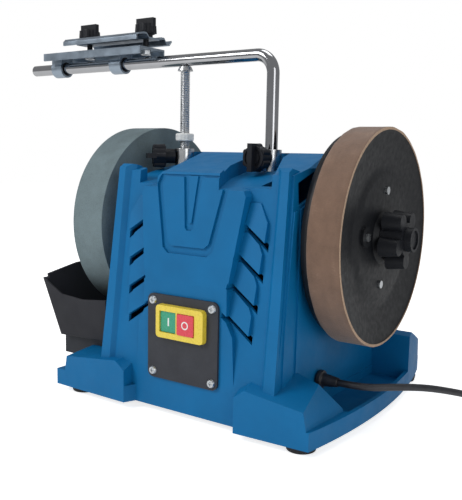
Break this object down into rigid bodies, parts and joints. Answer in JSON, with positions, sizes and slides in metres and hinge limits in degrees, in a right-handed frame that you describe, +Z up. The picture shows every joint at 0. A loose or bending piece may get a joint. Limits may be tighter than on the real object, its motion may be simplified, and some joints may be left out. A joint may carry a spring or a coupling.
{
  "type": "wet grinding sharpener",
  "caption": "Bench sharpener with a wet grinding stone over a water trough, a leather honing wheel, a height-adjustable tool support bar with clamping jig, and a push-button switch.",
  "frame": {"origin": "on the bench surface, directly below the middle of the axle and between the two wheels", "axes": "+X along the axle towards the honing wheel, +Y towards the back, +Z up"},
  "size_m": [0.6487, 0.32, 0.3837],
  "materials": {
    "blue_housing": "fine satin moulding",
    "floor_steel": "satin",
    "foot_rubber": "matt",
    "zinc_fasteners": "bright zinc",
    "panel_black": "satin",
    "switch_yellow": "semi gloss",
    "switch_black": "matt",
    "bush_brass": "machined",
    "motor_steel": "laminated",
    "motor_aluminium": "cast",
    "bright_steel": "ground",
    "sleeve_steel": "bright turned",
    "bracket_grey": "satin",
    "cord_black": "matt",
    "plug_metal": "nickel",
    "stone_grey": "fine grit",
    "wheel_black": "satin",
    "drive_rubber": "matt",
    "leather": "flesh side out",
    "knob_black": "satin",
    "chrome_bar": "bright plated",
    "rod_zinc": "threaded, zinc",
    "nut_white": "semi gloss",
    "liner_black": "satin",
    "jig_zinc": "zinc plated",
    "start_green": "semi gloss",
    "stop_red": "semi gloss",
    "trough_black": "satin"
  },
  "bodies": {
    "root": {"housing": "blue_housing", "bottom_plate": "floor_steel", "rubber_feet": "foot_rubber", "foot_screws": "zinc_fasteners", "panel_plate": "panel_black", "panel_screws": "zinc_fasteners", "switch_frame": "switch_yellow", "switch_body": "switch_black", "axle_bushes": "bush_brass", "motor_body": "motor_steel", "motor_bells": "motor_aluminium", "motor_bearings": "bright_steel", "motor_bracket": "floor_steel", "capacitor": "switch_black", "left_sleeve": "sleeve_steel", "right_sleeve": "sleeve_steel", "trough_supports": "bracket_grey", "cord_gland": "cord_black", "cord_lead": "cord_black", "cord_coil": "cord_black", "cord_tail": "cord_black", "coil_tie": "cord_black", "plug_body": "cord_black", "plug_pins": "plug_metal"},
    "spindle": {"axle": "bright_steel", "grinding_stone": "stone_grey", "stone_flanges": "bright_steel", "stone_nut": "zinc_fasteners", "honing_spacer": "bright_steel", "honing_wheel": "wheel_black", "drive_ring": "drive_rubber", "leather_band": "leather", "hub_screws": "zinc_fasteners", "star_knob": "knob_black"},
    "rotor": {"motor_rotor": "motor_steel", "motor_shaft": "bright_steel", "drive_roller": "bright_steel"},
    "support": {"support_bar": "chrome_bar", "threaded_rod": "rod_zinc"},
    "height_nut": {"adjusting_nut": "nut_white"},
    "left_clamp": {"left_clamp_knob": "knob_black"},
    "right_clamp": {"right_clamp_knob": "knob_black"},
    "jig_liners": {"jig_liners": "liner_black"},
    "jig": {"jig_carrier": "jig_zinc", "jig_nuts": "zinc_fasteners"},
    "jaw": {"jig_jaw": "jig_zinc"},
    "jaw_left_knob": {"jig_left_knob": "knob_black"},
    "jaw_right_knob": {"jig_right_knob": "knob_black"},
    "start_button": {"green_button": "start_green"},
    "stop_button": {"red_button": "stop_red"},
    "trough": {"water_trough": "trough_black"}
  },
  "joints": [
    {"name": "spindle_turn", "type": "hinge", "parent": "root", "child": "spindle", "pos_m": [0, 0, 0.17], "axis": [1, 0, 0], "continuous": true},
    {"name": "rotor_turn", "type": "hinge", "parent": "root", "child": "rotor", "pos_m": [0, 0, 0.0953], "axis": [1, 0, 0], "continuous": true},
    {"name": "support_height", "type": "slide", "parent": "root", "child": "support", "axis": [0, 0, 1], "range_m": [-0.007, 0.06]},
    {"name": "nut_turn", "type": "hinge", "parent": "support", "child": "height_nut", "pos_m": [-0.0676, -0.021, 0.26], "axis": [0, 0, 1], "continuous": true},
    {"name": "left_clamp_turn", "type": "hinge", "parent": "root", "child": "left_clamp", "pos_m": [-0.0676, -0.021, 0.24], "axis": [-0.7071, -0.7071, 0], "continuous": true},
    {"name": "right_clamp_turn", "type": "hinge", "parent": "root", "child": "right_clamp", "pos_m": [0.0375, -0.021, 0.24], "axis": [0, -1, 0], "continuous": true},
    {"name": "jig_slide", "type": "slide", "parent": "support", "child": "jig_liners", "axis": [1, 0, 0], "range_m": [-0.03, 0.06]},
    {"name": "jig_tilt", "type": "hinge", "parent": "jig_liners", "child": "jig", "pos_m": [-0.2, -0.021, 0.3375], "axis": [1, 0, 0], "range_deg": [-60, 60]},
    {"name": "jaw_close", "type": "slide", "parent": "jig", "child": "jaw", "axis": [0, 0, -1], "range_m": [0, 0.004]},
    {"name": "jaw_left_knob_turn", "type": "hinge", "parent": "jaw", "child": "jaw_left_knob", "pos_m": [-0.204, -0.021, 0.36], "axis": [0, 0, 1], "continuous": true},
    {"name": "jaw_right_knob_turn", "type": "hinge", "parent": "jaw", "child": "jaw_right_knob", "pos_m": [-0.121, -0.021, 0.36], "axis": [0, 0, 1], "continuous": true},
    {"name": "start_press", "type": "slide", "parent": "root", "child": "start_button", "axis": [0, 1, 0], "range_m": [0, 0.003], "stiffness_N_per_m": 400, "springref_m": -0.001},
    {"name": "stop_press", "type": "slide", "parent": "root", "child": "stop_button", "axis": [0, 1, 0], "range_m": [0, 0.003], "stiffness_N_per_m": 400, "springref_m": -0.001},
    {"name": "trough_height", "type": "slide", "parent": "root", "child": "trough", "axis": [0, 0, 1], "range_m": [0, 0.013]}
  ],
  "couplings": [
    {"joint": "rotor_turn", "follows": "spindle_turn", "ratio": 11.714}
  ]
}
